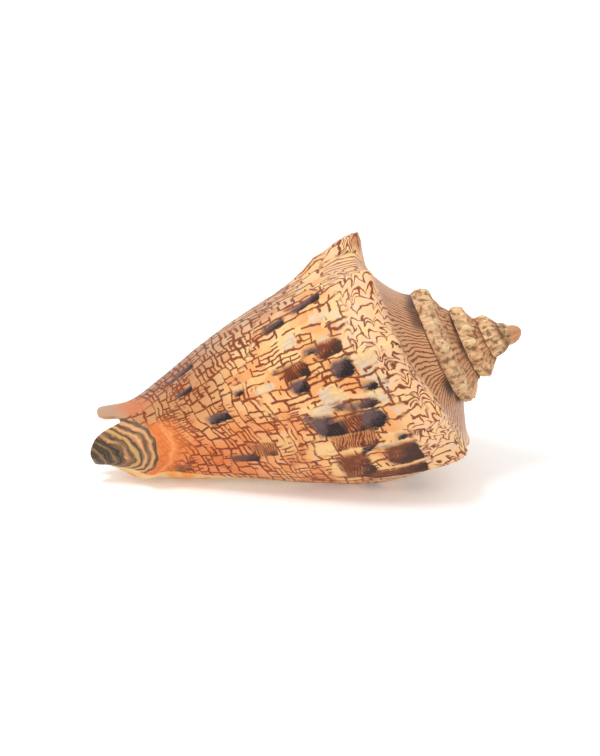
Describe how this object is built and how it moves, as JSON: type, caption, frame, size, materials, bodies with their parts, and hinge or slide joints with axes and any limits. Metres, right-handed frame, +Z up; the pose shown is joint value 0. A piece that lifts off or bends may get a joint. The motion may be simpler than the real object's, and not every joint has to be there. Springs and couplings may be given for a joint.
{
  "type": "volute seashell",
  "caption": "Knobbed volute seashell lying on its aperture, with a low spire, a hooked shoulder spine, a tapering body whorl, a siphonal notch and folds on the columella.",
  "frame": {"origin": "bottom centre of the bounding box of the shell as it lies on its aperture", "axes": "+X toward the spire, +Z up, the outer lip on the +Y side"},
  "size_m": [0.1246, 0.0724, 0.0701],
  "materials": {
    "shell": "glossy cream shell with a red-brown network and dark blocks"
  },
  "bodies": {
    "root": {"shell": "shell"}
  },
  "joints": []
}
